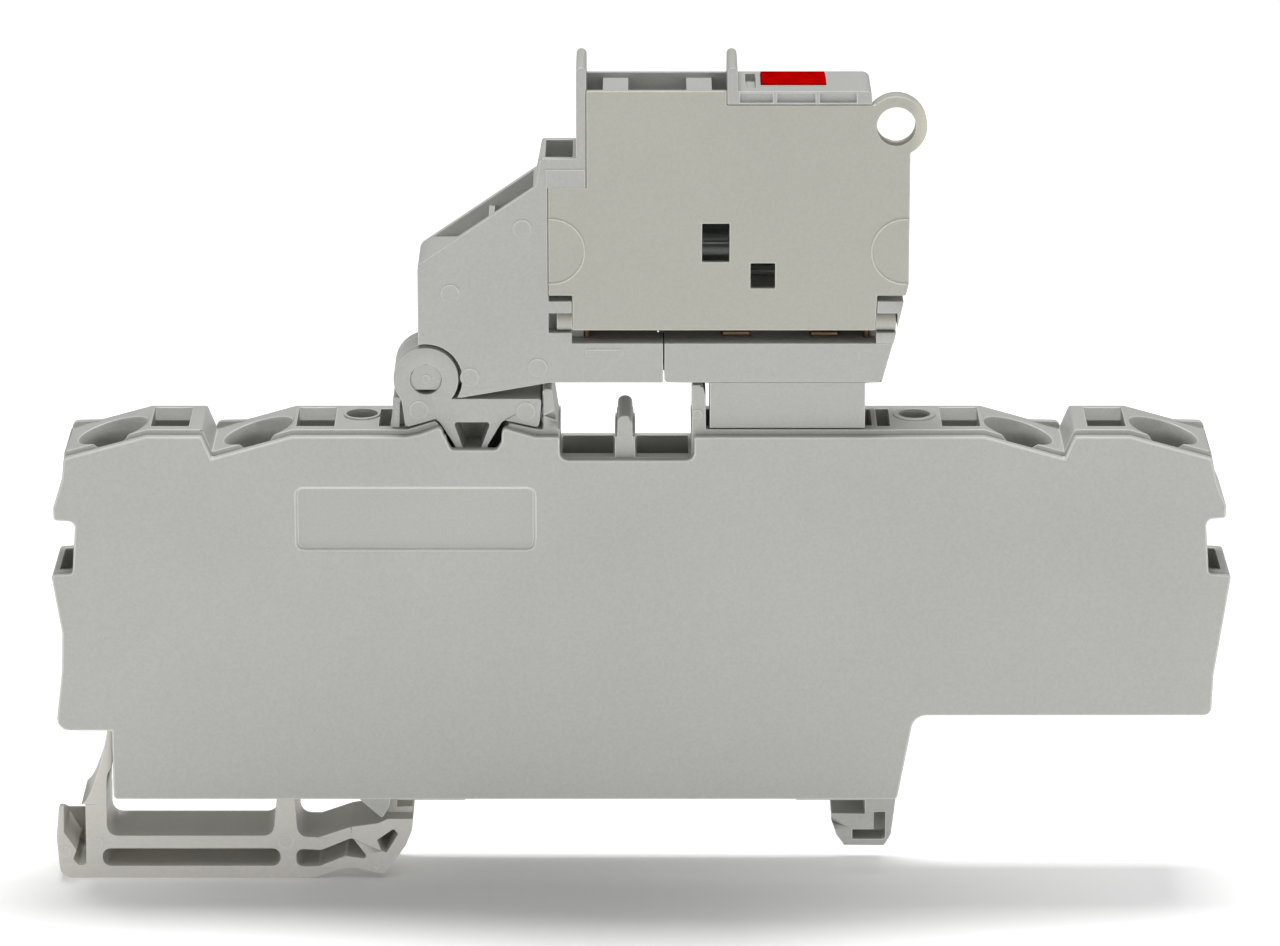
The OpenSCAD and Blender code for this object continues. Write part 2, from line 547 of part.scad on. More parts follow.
module holder_body() {
    y_in = y_back - back_t;
    cover_y = y_split + cover_t + seat;
    color(grey) difference() {
        union() {
            difference() {
                slab(holder_outline(), y_split, y_back);
                // hollow round the hinge eyes
                rod_y(hinge_x, hinge_z, 2 * (eye_r + eye_gap), y_split - 1, y_back + 1);
            }
            // the holder's own eye, between the ears of the hinge base
            rod_y(hinge_x, hinge_z, 2 * eye_r, y_split + ear_t + 0.1, hinge_y1 - ear_t - 0.1);
            slab([[hinge_x - 0.55, hinge_z + 1], [hinge_x - 0.55, hinge_z + 3.5],
                [hinge_x + 3, hinge_z + 2], [hinge_x + 2.8, hinge_z - 0.6], [hinge_x + 1.5, hinge_z - 0.6]],
                y_split + ear_t + 0.1, hinge_y1 - ear_t - 0.1);
        }
        rod_y(hinge_x, hinge_z, pin_d + 2 * pin_gap, y_split - 1, y_back + 1);
        // seat of the cover, and relief round its ring
        slab(cover_outline(seat), y_split - 1, cover_y);
        rod_y(ring_x, ring_z, ring_od + 0.4, y_split - 1, y_split + ring_t + seat);
        // fuse room with the feed strips below it
        block([fuse_x - clip_x - clip_t - seat, y_split - 1, fuse_z - room_half],
            [fuse_x + clip_x + clip_t + seat, y_in, fuse_z + room_half]);
        block([fuse_x - clip_x - clip_t - seat, y_split - 1, slit_z],
            [fuse_x + clip_x + clip_t + seat, y_in - 0.8, fuse_z - room_half + 0.01]);
        block([-4.3, y_split - 1, slit_z], [18.05, cover_y + 1.4, arm_z + 4]);
        // channel of the trunnions and their square pockets
        block([-6, y_split - 1, trunnion_z - trunnion_d / 2 - seat],
            [-4.2, trunnion_y + trunnion_d / 2 + seat, trunnion_z + trunnion_d / 2 + seat]);
        block([18, y_split - 1, trunnion_z - trunnion_d / 2 - seat],
            [19.6, trunnion_y + trunnion_d / 2 + seat, trunnion_z + trunnion_d / 2 + seat]);
        block([-4.3, y_split - 1, arm_z + 3.5], [18.05, trunnion_y + trunnion_d / 2 + seat, arm_z + 5.4]);
        for (x = [[-6, -4.2], [18, 20.3]])
            block([x[0], y_split - 1, arm_z + 6.2], [x[1], y_split + 1.6, arm_z + 6.65]);
        // plug carrier's seat
        block([2.4, y_split - 1, arm_z - 1], [21, y_back + 1, slit_z]);
        block([2, y_mid, arm_z - 1], [2.5, y_back + 1, slit_z]);
        // lamp room, the slots of its leads and the lens's window
        for (x = lead_x)
            block([x - seat, board_y - 0.4, fuse_z], [x + 0.8 + seat, board_y + seat, board_z + 0.1]);
        block([-2.2, y_split - 1, fuse_z + room_half + 0.6], [16.6, y_in, board_z + board_h + 0.2]);
        block([lens_x - lens_l / 2, lens_front, board_z + board_h],
            [lens_x + lens_l / 2, lens_front + lens_y, trough_z + 1]);
        // marker trough
        difference() {
            block([trough_l, cover_y - 0.1, trough_z - 2.6], [trough_r, y_in, trough_z + 3]);
            for (x = [-2, 4.1])
                block([x, cover_y - 1, trough_z - 3], [x + 1.85, y_in + 1, trough_z - 0.4]);
        }
        // panels below the lens, and a slit beside it
        for (x = [[7.95, 10.35], [10.65, 13.45], [13.75, 16.45]])
            block([x[0], y_split - 1, trough_z - 0.85], [x[1], y_split + 0.3, trough_z - 0.15]);
        block([8.4, y_split + 1.2, trough_z - 0.6], [9.15, y_in - 0.3, trough_z + 1]);
        // small box beside the trough, and the sloped trough
        block([-6.2, y_split + 0.6, arm_z + 14.9], [-4.2, y_in - 0.2, arm_z + 18]);
        slab([[-15, arm_z + 9.6], [-15, arm_z + 16], [-7.1, arm_z + 16], [-7.1, arm_z + 11.8],
            [-10, arm_z + 9.8]], y_split + 0.6, y_in - 0.2);
    }
    color(grey) block([-10.4, y_split + 0.6, arm_z + 9.5], [-10, y_in - 0.2, arm_z + 12]);
}

module plug_shroud() {
    color(grey) difference() {
        union() {
            slab(outline([[2.5, arm_z, 0.3], [2.5, slit_z], [19.3, slit_z], [18.5, arm_z, 0.3]]),
                y_split, y_back);
            block([2.1, y_mid + 0.1, arm_z], [3, y_back, slit_z]);
            block([socket_l + 0.25, socket_y0 + 0.15, top_z - 2.3],
                [socket_r - 0.55, socket_y1 - 0.3, arm_z + 0.5]);
            // front shoulder above the housing's rim
            block([socket_l + 0.25, y_split + 0.05, house_z + 0.12],
                [socket_r - 0.55, socket_y0 + 0.2, arm_z + 0.5]);
        }
        // room round the blades
        block([blade_l - 1.35, socket_y0 + 0.7, top_z - 3], [blade_r + 2.4, socket_y1 - 0.8, arm_z - 0.5]);
        for (x = [blade_l, blade_r])
            block([x - blade_w / 2 - seat, y_mid - blade_t / 2 - seat, arm_z - 1],
                [x + blade_w / 2 + seat, y_mid + blade_t / 2 + seat, slit_z + 1]);
    }
}

// A clip that takes one cap of the fuse: end, two jaws, a leg, a feed strip and the blade
module fuse_clip(side, blade_x) {
    x_in = fuse_x + side * clip_x;
    x_out = x_in + side * clip_t;
    x_jaw = x_in - side * 4.6;
    jaw = cap_d / 2 + 0.02;
    y0 = trunnion_y + trunnion_d / 2 + 0.15;
    y1 = y0 + clip_w;
    color(copper) {
        block([min(x_in, x_out), y0, strip_z], [max(x_in, x_out), y1, fuse_z + jaw + clip_t]);
        for (z = [fuse_z + jaw, fuse_z - jaw - clip_t])
            block([min(x_jaw, x_out), y0, z], [max(x_jaw, x_out), y1, z + clip_t]);
        far = blade_x - side * blade_w / 2;
        block([min(far, x_out), y1 - 1.4, strip_z], [max(far, x_out), y1, strip_z + clip_t]);
        block([blade_x - blade_w / 2, y0 + 0.3, strip_z], [blade_x + blade_w / 2, y1, strip_z + clip_t]);
        block([blade_x - blade_w / 2, y_mid - blade_t / 2, blade_tip],
            [blade_x + blade_w / 2, y_mid + blade_t / 2, strip_z + clip_t]);
    }
}

// ---- fuse ----
module fuse_glass() {
    color([0.8, 0.85, 0.85, 0.5]) difference() {
        rod_x(fuse_y, fuse_z, glass_d, fuse_x - fuse_l / 2 + 0.5, fuse_x + fuse_l / 2 - 0.5);
        rod_x(fuse_y, fuse_z, glass_d - 1, fuse_x - fuse_l, fuse_x + fuse_l);
    }
}

module fuse_cap(side) {
    color(steel) translate([fuse_x, fuse_y, fuse_z]) rotate([0, side * 90, 0]) difference() {
        translate([0, 0, fuse_l / 2 - cap_l]) cylinder(d = cap_d, h = cap_l);
        translate([0, 0, fuse_l / 2 - cap_l - 1]) cylinder(d = glass_d + 0.02, h = cap_l + 0.5);
    }
}

module fuse_wire() {
    color(steel) rod_x(fuse_y, fuse_z, 0.3, fuse_x - fuse_l / 2 + 0.5, fuse_x + fuse_l / 2 - 0.5);
}

// ---- lamp ----
module lamp_lens() {
    color([0.78, 0.05, 0.04]) {
        block([lens_x - lens_l / 2 + seat, lens_front + seat, trough_z - lens_t],
            [lens_x + lens_l / 2 - seat, lens_front + lens_y - seat, trough_z + 0.12]);
        block([lens_x - 1, board_y - 1.9, board_z + 2.2], [lens_x + 1, board_y - seat, trough_z - lens_t]);
    }
}

module lamp_led() {
    color([0.9, 0.88, 0.8])
        block([lens_x - 0.9, board_y - 1.6, board_z + 0.9], [lens_x + 0.9, board_y, board_z + 2.1]);
}

module lamp_board() {
    color([0.35, 0.42, 0.3])
        block([-1.6, board_y, board_z], [16, board_y + board_t - seat, board_z + board_h]);
}

module lamp_resistor() {
    color([0.55, 0.5, 0.4]) {
        rod_x(board_y - 0.8, board_z + 1.6, 1.5, 3, 6.4);
        for (x = [2.4, 6.4])
            block([x, board_y - 0.95, board_z + 1.45], [x + 0.6, board_y, board_z + 1.75]);
    }
}

module lamp_leads() {
    jaw_top = fuse_z + cap_d / 2 + 0.02 + clip_t;
    color(copper) for (x = lead_x)
        block([x, board_y - 0.3, jaw_top], [x + 0.8, board_y, board_z + 1.6]);
}

// ---- cover ----
module fuse_cover() {
    color(cover_grey) difference() {
        union() {
            slab(cover_outline(0), y_split, y_split + cover_t);
            rod_y(ring_x, ring_z, ring_od, y_split, y_split + ring_t);
            rod_x(trunnion_y, trunnion_z, trunnion_d, -5.4, 19.5);
        }
        rod_y(ring_x, ring_z, ring_d, y_split - 1, y_split + ring_t + 1);
        // two windows
        block([5.25, y_split - 1, arm_z + 9.2], [7.25, y_split + cover_t + 0.3, arm_z + 12.1]);
        block([8.8, y_split - 1, arm_z + 7.2], [10.6, y_split + cover_t + 0.3, arm_z + 9.1]);
    }
}

housing();  // terminal_housing
end_plate();
current_bar(clamps[0][1] - 5.6, blade_l + 1.5, [clamps[0], clamps[1]]);  // left_current_bar
current_bar(blade_r - 1.5, clamps[3][1] + 5.6, [clamps[2], clamps[3]]);  // right_current_bar
clamp_spring(clamps[0]);  // left_outer_clamp_spring
clamp_spring(clamps[1]);  // left_inner_clamp_spring
clamp_spring(clamps[2]);  // right_inner_clamp_spring
clamp_spring(clamps[3]);  // right_outer_clamp_spring
socket_contact(blade_l);  // left_socket_contact
socket_contact(blade_r);  // right_socket_contact
hinge_base();
hinge_pin();
release_foot();
foot_strap();
holder_body();
plug_shroud();
fuse_clip(-1, blade_l);  // left_fuse_clip
fuse_clip(1, blade_r);  // right_fuse_clip
fuse_glass();
fuse_cap(-1);  // left_fuse_cap
fuse_cap(1);  // right_fuse_cap
fuse_wire();
lamp_lens();
lamp_led();
lamp_board();
lamp_resistor();
lamp_leads();
fuse_cover();
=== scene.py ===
# %% [markdown]
# # A fuse terminal block, finished on its CAD frame
# The block comes from CAD as separate solids that already sit in their places and move on their joints.
# Blender adds what CAD leaves out: rounded moulded edges, the finish of each plastic and metal, the light
# and the camera.

# %% Load the frame
import math

import bpy
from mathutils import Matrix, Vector


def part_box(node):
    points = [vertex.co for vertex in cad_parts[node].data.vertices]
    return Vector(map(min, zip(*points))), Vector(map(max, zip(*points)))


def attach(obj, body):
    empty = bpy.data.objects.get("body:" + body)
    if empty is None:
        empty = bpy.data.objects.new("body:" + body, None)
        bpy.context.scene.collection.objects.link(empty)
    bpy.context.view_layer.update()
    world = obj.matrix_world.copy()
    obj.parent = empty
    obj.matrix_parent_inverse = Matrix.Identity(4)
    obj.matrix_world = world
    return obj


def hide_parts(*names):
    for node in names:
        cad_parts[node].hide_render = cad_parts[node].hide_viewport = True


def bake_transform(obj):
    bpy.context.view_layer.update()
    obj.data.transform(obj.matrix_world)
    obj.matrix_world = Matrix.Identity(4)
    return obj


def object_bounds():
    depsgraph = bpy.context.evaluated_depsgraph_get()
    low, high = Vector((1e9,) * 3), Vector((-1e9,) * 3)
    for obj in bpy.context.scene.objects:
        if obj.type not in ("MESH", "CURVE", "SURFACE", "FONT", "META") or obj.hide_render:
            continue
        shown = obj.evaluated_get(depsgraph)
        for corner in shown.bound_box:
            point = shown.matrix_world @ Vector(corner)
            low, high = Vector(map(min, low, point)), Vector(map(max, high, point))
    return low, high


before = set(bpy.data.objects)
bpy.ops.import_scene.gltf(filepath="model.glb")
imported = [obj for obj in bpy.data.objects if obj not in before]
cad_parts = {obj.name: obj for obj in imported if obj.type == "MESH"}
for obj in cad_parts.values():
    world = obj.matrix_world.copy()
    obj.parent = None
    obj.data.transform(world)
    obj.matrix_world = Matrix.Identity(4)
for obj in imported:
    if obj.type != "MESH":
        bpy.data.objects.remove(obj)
cad_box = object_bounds()
MM = 0.001

# %% [markdown]
# The camera comes first, so that every later step can be judged through it. A catalogue picture of a small
# part is taken from far away with a long lens, which keeps upright edges nearly parallel. Here it stands
# 455 mm away and looks down at 17.4 degrees, so that one sees into the slots and funnels on the top.

# %% Camera
LOOK_AT = Vector((0.709, -3.5, 26.04)) * MM
DISTANCE = 455 * MM
LOOK_DOWN = math.radians(17.4)
SENSOR_WIDTH, FOCAL_LENGTH = 36, 173.4     # mm
NEAR, FAR = 0.05, 20                       # m

bpy.ops.object.camera_add(
    location=LOOK_AT + DISTANCE * Vector((0, -math.cos(LOOK_DOWN), math.sin(LOOK_DOWN))),
    rotation=(math.pi / 2 - LOOK_DOWN, 0, 0),
)
camera = bpy.context.object
camera.data.sensor_width, camera.data.lens = SENSOR_WIDTH, FOCAL_LENGTH
camera.data.clip_start, camera.data.clip_end = NEAR, FAR
bpy.context.scene.camera = camera
print("camera at", [round(c / MM, 1) for c in camera.location], "mm")

# %% [markdown]
# A Principled shader works in linear light, while colours are picked as sRGB hex values. One function
# turns hex into linear, and one adds any node with its settings and links, so a material reads as a list. A
# colour ramp and the last link to the output come up in every material, so they have functions too.

# %% Colour and node helpers
def linear(hex_colour):
    """An sRGB hex value as linear red, green, blue and alpha."""
    parts = [int(hex_colour[i:i + 2], 16) / 255 for i in (1, 3, 5)]
    return (*(c / 12.92 if c <= 0.04045 else ((c + 0.055) / 1.055) ** 2.4 for c in parts), 1)


def add_node(material, kind, settings=None, links=None):
    """A node with its settings (socket or property names) and its links (socket name to source socket)."""
    node = material.node_tree.nodes.new(kind)
    for name, value in (settings or {}).items():
        if isinstance(name, int) or name in node.inputs:
            node.inputs[name].default_value = value
        else:
            setattr(node, name, value)
    for name, source in (links or {}).items():
        material.node_tree.links.new(source, node.inputs[name])
    return node


def add_ramp(material, factor, stops, interpolation="LINEAR"):
    """The colour output of a ramp over a factor socket; stops are (position, sRGB hex), in rising order."""
    node = add_node(material, "ShaderNodeValToRGB", None, {"Fac": factor})
    ramp = node.color_ramp
    ramp.interpolation = interpolation
    first, *middle, last = stops
    for stop, (position, colour) in zip(ramp.elements, (first, last)):
        stop.position, stop.color = position, linear(colour)
    for position, colour in middle:
        ramp.elements.new(position).color = linear(colour)
    return node.outputs["Color"]


def new_material(name):
    """An empty node material and the object coordinates that its patterns are drawn in."""
    material = bpy.data.materials.new(name)
    material.use_nodes = True
    material.node_tree.nodes.clear()
    return material, add_node(material, "ShaderNodeTexCoord").outputs["Object"]


def finish_with(material, settings, links):
    """Ends a material with its Principled shader and its output."""
    shader = add_node(material, "ShaderNodeBsdfPrincipled", settings, links)
    add_node(material, "ShaderNodeOutputMaterial", None, {"Surface": shader.outputs["BSDF"]})
    return material


print("hex #808080 in linear light:", round(linear("#808080")[0], 3))

# %% [markdown]
# The housing, the plate, the holder and the foot are injection moulded from grey polyamide 66. The mould is
# spark eroded, which leaves a fine matt grain of about 0.08 mm. The grain is drawn at 0.2 mm here, because a
# finer one would not show on a picture of the whole block. The shade drifts a little over some 15 mm, where
# the melt cooled at different speeds, and thin edges let some light through, so there is a little subsurface.
# Each rounded edge is painted paler than its moulding, a painted highlight where the edge catches light. The
# foot is paler than the housing. The cover is of a warmer grade, and its thin pull ring is painted almost
# cream, a painted glow of light through the thin plastic.

# %% Moulded polyamide
GRAIN, GRAIN_DEPTH = 0.2 * MM, 0.012 * MM
FLOW = 15 * MM
LIGHT_REACH = 0.4 * MM                     # how far light travels inside the plastic
MIX_A, MIX_B, MIX_RESULT = 6, 7, 2         # the colour sockets of a Mix node
# the ring's cream colour is a painted glow of light through the thin plastic
RING_GLOW_OF_COVER = (20.4, 21.4, "#D0CABA")    # from x to x in mm, and the colour there


def moulded_plastic(name, colour, light_fleck, dark_fleck, roughness, through, thin=None):
    """through is the subsurface weight; thin is (from x, to x, colour), where the plastic gets thin along X and
    the colour there is a painted glow of light through it.
    """
    material, place = new_material(name)
    grain = add_node(material, "ShaderNodeTexNoise", {"Scale": 1 / GRAIN, "Detail": 2, "Roughness": 0.6},
                     {"Vector": place}).outputs["Fac"]
    flow = add_node(material, "ShaderNodeTexNoise", {"Scale": 1 / FLOW, "Detail": 3, "Roughness": 0.5},
                    {"Vector": place})
    fleck = add_ramp(material, grain, [(0.3, dark_fleck), (0.5, colour), (0.72, light_fleck)])
    drift = add_node(material, "ShaderNodeMapRange",
                     {"From Min": 0.3, "From Max": 0.7, "To Min": 0.97, "To Max": 1.03},
                     {"Value": flow.outputs["Fac"]})
    tone = add_node(material, "ShaderNodeVectorMath", {"operation": "SCALE"},
                    {0: fleck, "Scale": drift.outputs["Result"]}).outputs["Vector"]
    if thin:
        # the paler colour along the ring is a painted glow of light through the thin plastic
        start, end, paler = thin
        along = add_node(material, "ShaderNodeSeparateXYZ", None, {"Vector": place})
        share = add_node(material, "ShaderNodeMapRange", {"From Min": start * MM, "From Max": end * MM},
                         {"Value": along.outputs["X"]})
        tone = add_node(material, "ShaderNodeMix", {"data_type": "RGBA", MIX_B: linear(paler)},
                        {0: share.outputs["Result"], MIX_A: tone}).outputs[MIX_RESULT]
    matt = add_node(material, "ShaderNodeMapRange",
                    {"From Min": 0.3, "From Max": 0.7, "To Min": roughness - 0.05, "To Max": roughness + 0.05},
                    {"Value": grain})
    bump = add_node(material, "ShaderNodeBump", {"Strength": 0.35, "Distance": GRAIN_DEPTH}, {"Height": grain})
    return finish_with(
        material,
        {"IOR": 1.53, "Subsurface Weight": through, "Subsurface Radius": (1.0, 0.9, 0.7),
         "Subsurface Scale": LIGHT_REACH},
        {"Base Color": tone, "Roughness": matt.outputs["Result"], "Normal": bump.outputs["Normal"]})


housing_polyamide = moulded_plastic("spark_eroded_polyamide", "#B5B5B0", "#B9B9B4", "#B1B1AC", 0.5, 0.05)
housing_edge_highlight = moulded_plastic("polyamide_edge_painted_highlight", "#CFCFCA", "#D2D2CD", "#CCCCC7", 0.4, 0.1)
mark_ring_highlight = moulded_plastic("mark_edge_painted_highlight", "#BFBFBA", "#C2C2BD", "#BCBCB7", 0.4, 0.1)
# the foot is given a paler colour than the housing
foot_plastic = moulded_plastic("paler_polyamide_of_the_foot", "#D2CFC8", "#D5D2CB", "#CFCCC5",
                               0.5, 0.15)
foot_edge_highlight = moulded_plastic("foot_edge_painted_highlight", "#DBD8D1", "#DEDBD4", "#D8D5CE", 0.4, 0.2)
cover_plastic = moulded_plastic("cover_polyamide_warm_grey", "#B3B3A9", "#B6B6AC", "#B0B0A6", 0.45, 0.1,
                                thin=RING_GLOW_OF_COVER)
cover_edge_highlight = moulded_plastic("cover_edge_painted_highlight", "#CBCABE", "#CECDC1", "#C8C7BB", 0.4, 0.2)
print("plastics:", ", ".join(m.name for m in (housing_polyamide, foot_plastic, cover_plastic)))

# %% [markdown]
# Metal parts are stamped from strip, and fine rolling lines run along it. The current bars and the fuse clips
# are bare copper, browned by air. The sockets and the lamp's leads are tinned copper, silvery with a warm tint.
# The springs are bright stainless steel, and the fuse's caps are nickel plated brass.

# %% Stamped metal
STREAK, STREAK_DEPTH = 0.06 * MM, 0.004 * MM
STRETCH = (0.04, 1, 1)                     # the rolling lines run along X


def stamped_metal(name, colour, streak_colour, roughness):
    """A metal between two shades, with rolling lines that change its colour, gloss and surface."""
    material, place = new_material(name)
    stretched = add_node(material, "ShaderNodeMapping", {"Scale": STRETCH}, {"Vector": place})
    lines = add_node(material, "ShaderNodeTexNoise", {"Scale": 1 / STREAK, "Detail": 2},
                     {"Vector": stretched.outputs["Vector"]}).outputs["Fac"]
    tone = add_ramp(material, lines, [(0.35, streak_colour), (0.65, colour)])
    worn = add_node(material, "ShaderNodeMapRange", {"To Min": roughness - 0.06, "To Max": roughness + 0.08},
                    {"Value": lines})
    bump = add_node(material, "ShaderNodeBump", {"Strength": 0.2, "Distance": STREAK_DEPTH}, {"Height": lines})
    return finish_with(material, {"Metallic": 1},
                       {"Base Color": tone, "Roughness": worn.outputs["Result"],
                        "Normal": bump.outputs["Normal"]})


tinned_copper = stamped_metal("tinned_copper_strip", "#D8CFC4", "#C39B7C", 0.32)
bare_copper = stamped_metal("copper_strip", "#84705C", "#66543F", 0.45)
spring_steel = stamped_metal("stainless_spring_steel", "#C9CBCC", "#AEB0B2", 0.28)
nickel_cap = stamped_metal("nickel_plated_brass", "#CFCBC1", "#BEB9AC", 0.22)
tinned_wire = stamped_metal("tinned_fuse_wire", "#D0D0CE", "#B4B4B2", 0.3)
metals = tinned_copper, bare_copper, spring_steel, nickel_cap, tinned_wire
print("metals:", ", ".join(metal.name for metal in metals))

# %% [markdown]
# The lamp's lens is red acrylic, etched on its face so that it scatters the lamp's light. It is a deep, pure
# red with hardly any mirror gloss, and it passes on a little of the daylight that enters its sides, which a
# weak emission stands for. Small clouds show the etching and the facets under it.

# %% Red acrylic
ETCHING = 0.6 * MM


def red_acrylic():
    """Two deep reds in small clouds, with a weak glow."""
    material, place = new_material("red_acrylic")
    cloud = add_node(material, "ShaderNodeTexNoise", {"Scale": 1 / ETCHING, "Detail": 3}, {"Vector": place})
    tone = add_ramp(material, cloud.outputs["Fac"], [(0.3, "#8E0000"), (0.7, "#BE0200")])
    return finish_with(
        material,
        {"Roughness": 0.45, "IOR": 1.49, "Specular IOR Level": 0.0,
         "Emission Color": linear("#D00000"), "Emission Strength": 0.06},
        {"Base Color": tone})


red_lens = red_acrylic()
print("lens:", red_lens.name)

# %% [markdown]
# The fuse's tube is clear soda glass: full transmission, an IOR of 1.52 and a faint green in its thickness.
# Slight unevenness in its roughness stands for handling marks.

# %% Fuse glass
HANDLING_MARKS = 2 * MM


def soda_glass():
    """Clear glass whose gloss varies with handling marks."""
    material, place = new_material("soda_glass")
    marks = add_node(material, "ShaderNodeTexNoise", {"Scale": 1 / HANDLING_MARKS, "Detail": 4},
                     {"Vector": place})
    smear = add_node(material, "ShaderNodeMapRange",
                     {"From Min": 0.4, "From Max": 0.8, "To Min": 0.01, "To Max": 0.08},
                     {"Value": marks.outputs["Fac"]})
    return finish_with(material, {"Base Color": linear("#F4F8F5"), "IOR": 1.52, "Transmission Weight": 1},
                       {"Roughness": smear.outputs["Result"]})


fuse_glass = soda_glass()
print("tube:", fuse_glass.name)

# %% [markdown]
# The small board is glass-fibre epoxy under green lacquer. Its weave shows through as a fine grid of about
# 0.5 mm, drawn with two crossed waves. The resistor's colour bands are a ramp with hard steps along its length.

# %% Circuit board, resistor and LED
WEAVE, CLOUD = 0.5 * MM, 0.8 * MM
RESISTOR_START, RESISTOR_LENGTH = 3 * MM, 3.4 * MM     # along X
SAND = "#C9B48A"
BANDS = [(0, SAND), (0.15, "#6A3B1E"), (0.25, SAND), (0.35, "#1D1D1D"), (0.45, SAND),
         (0.55, "#C46A1C"), (0.65, SAND), (0.8, "#A88A3A"), (0.9, SAND)]


def lacquered_board():
    """Green lacquer over the crossed threads of a glass-fibre weave."""
    material, place = new_material("green_lacquered_epoxy")
    warp, weft = (add_node(material, "ShaderNodeTexWave", {"Scale": 1 / WEAVE / 2, "bands_direction": axis},
                           {"Vector": place}) for axis in "XZ")
    weave = add_node(material, "ShaderNodeMath", {"operation": "MULTIPLY"},
                     {0: warp.outputs["Fac"], 1: weft.outputs["Fac"]})
    tone = add_ramp(material, weave.outputs["Value"], [(0, "#1F4A2E"), (1, "#2F6A42")])
    return finish_with(material, {"Roughness": 0.3, "IOR": 1.5}, {"Base Color": tone})


def banded_resistor():
    """Sand-coloured lacquer with four colour bands."""
    material, place = new_material("lacquered_resistor")
    centred = add_node(material, "ShaderNodeMapping", {"Location": (-RESISTOR_START, 0, 0)}, {"Vector": place})
    along = add_node(material, "ShaderNodeSeparateXYZ", None, {"Vector": centred.outputs["Vector"]})
    share = add_node(material, "ShaderNodeMapRange", {"From Min": 0.0, "From Max": RESISTOR_LENGTH},
                     {"Value": along.outputs["X"]})
    tone = add_ramp(material, share.outputs["Result"], BANDS, interpolation="CONSTANT")
    return finish_with(material, {"Roughness": 0.35, "IOR": 1.5}, {"Base Color": tone})


def led_epoxy():
    """Milky epoxy that lets light in."""
    material, place = new_material("milky_led_epoxy")
    cloud = add_node(material, "ShaderNodeTexNoise", {"Scale": 1 / CLOUD}, {"Vector": place})
    tone = add_ramp(material, cloud.outputs["Fac"], [(0, "#E4E0D2"), (1, "#F2EFE4")])
    return finish_with(
        material,
        {"Roughness": 0.3, "IOR": 1.5, "Subsurface Weight": 0.3, "Subsurface Scale": 0.3 * MM},
        {"Base Color": tone})


board_lacquer, resistor_lacquer, led_body = lacquered_board(), banded_resistor(), led_epoxy()
print("lamp parts:", board_lacquer.name, resistor_lacquer.name, led_body.name)

# %% [markdown]
# Each CAD solid keeps its shape and gets its finish, and a moulded or stamped part never has a knife edge,
# so each gets a small rounding. The CAD mesh comes as loose triangles, so live modifiers prepare it: Weld joins
# them, Decimate merges each flat face, and Triangulate cuts it again into well shaped triangles, because thin
# ones would fold over when the Bevel moves their corners. The end plate and the cover are simple enough to do
# without Triangulate. Weighted Normal then keeps the large faces flat. The fuse wire is too thin for a
# rounding. The meshes themselves stay as CAD made them.

# %% Finishes and soft edges of the CAD pieces
FINISHES = {
    housing_polyamide: ["terminal_housing", "end_plate", "hinge_base", "hinge_pin", "holder_body",
                        "plug_shroud"],
    foot_plastic: ["release_foot"],
    cover_plastic: ["fuse_cover"],
    bare_copper: ["left_current_bar", "right_current_bar", "left_fuse_clip", "right_fuse_clip"],
    tinned_copper: ["left_socket_contact", "right_socket_contact", "lamp_leads"],
    spring_steel: ["left_outer_clamp_spring", "left_inner_clamp_spring",
                   "right_inner_clamp_spring", "right_outer_clamp_spring"],
    nickel_cap: ["left_fuse_cap", "right_fuse_cap"],
    tinned_wire: ["fuse_wire"],
    red_lens: ["lamp_lens"],
    fuse_glass: ["fuse_glass"],
    led_body: ["lamp_led"],
    board_lacquer: ["lamp_board"],
    resistor_lacquer: ["lamp_resistor"],
}
# each moulding's second finish is painted paler, a painted highlight on its rounded edges
PAINTED_EDGE_HIGHLIGHTS = {housing_polyamide: housing_edge_highlight, cover_plastic: cover_edge_highlight, foot_plastic: foot_edge_highlight}
EDGE = {"terminal_housing": 0.07, "end_plate": 0.14, "holder_body": 0.05, "fuse_cover": 0.07,
        "release_foot": 0.04, "hinge_base": 0.03, "plug_shroud": 0.06, "hinge_pin": 0.04,
        "left_fuse_cap": 0.25, "right_fuse_cap": 0.25, "fuse_glass": 0.05}     # width of the rounding, in mm
USUAL_EDGE, WELD_DISTANCE = 0.05, 0.001    # mm
FLAT_ANGLE, SHARP_ANGLE, SMOOTH_ANGLE = math.radians(1), math.radians(35), math.radians(30)


def soften(name, radius_mm):
    """Live rounding of a CAD node's edges; the rounded faces take the node's second finish, which is painted
    paler as a highlight.
    """
    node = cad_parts[name]
    weld = node.modifiers.new("Join triangles", "WELD")
    weld.merge_threshold = WELD_DISTANCE * MM
    flats = node.modifiers.new("Merge flats", "DECIMATE")
    flats.decimate_type, flats.angle_limit = "DISSOLVE", FLAT_ANGLE
    if name not in ("end_plate", "fuse_cover"):
        even = node.modifiers.new("Even triangles", "TRIANGULATE")
        even.quad_method = even.ngon_method = "BEAUTY"
    edge = node.modifiers.new("Moulded edge", "BEVEL")
    edge.width, edge.segments = radius_mm * MM, 2
    edge.limit_method, edge.angle_limit = "ANGLE", SHARP_ANGLE
    edge.use_clamp_overlap = False
    edge.material = len(node.data.materials) - 1
    shading = node.modifiers.new("Flat faces stay flat", "WEIGHTED_NORMAL")
    shading.weight = 100


for finish, names in FINISHES.items():
    for name in names:
        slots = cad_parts[name].data.materials
        slots.clear()
        slots.append(finish)
        # the paler second finish paints a highlight on the rounded edges
        if finish in PAINTED_EDGE_HIGHLIGHTS:
            slots.append(PAINTED_EDGE_HIGHLIGHTS[finish])
        if name != "fuse_wire":
            soften(name, EDGE.get(name, USUAL_EDGE))
print("finished", sum(len(names) for names in FINISHES.values()), "CAD nodes")

